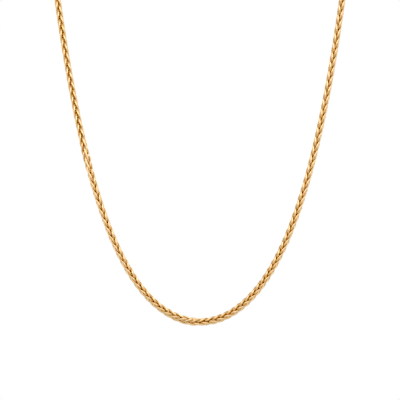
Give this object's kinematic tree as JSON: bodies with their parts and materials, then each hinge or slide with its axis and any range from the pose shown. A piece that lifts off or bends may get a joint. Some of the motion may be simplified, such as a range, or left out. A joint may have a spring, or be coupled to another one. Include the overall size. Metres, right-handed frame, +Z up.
{
  "type": "wheat chain necklace",
  "caption": "Necklace of interlocking wheat-pattern links, a closed loop hanging in a U with a plain ring clasp at the nape.",
  "frame": {"origin": "middle of the clasp at the nape, where the necklace hangs from the back of the neck", "axes": "+Z up, -Y to the wearer's front, +X to the right of the picture"},
  "size_m": [0.1092, 0.0871, 0.1513],
  "materials": {
    "chain_gold": "polished yellow gold",
    "fittings_gold": "polished yellow gold"
  },
  "bodies": {
    "root": {"chain_left": "chain_gold", "chain_right": "chain_gold", "end_cap_left": "fittings_gold", "end_cap_right": "fittings_gold", "end_ring_left": "fittings_gold", "end_ring_right": "fittings_gold", "clasp": "fittings_gold"}
  },
  "joints": []
}
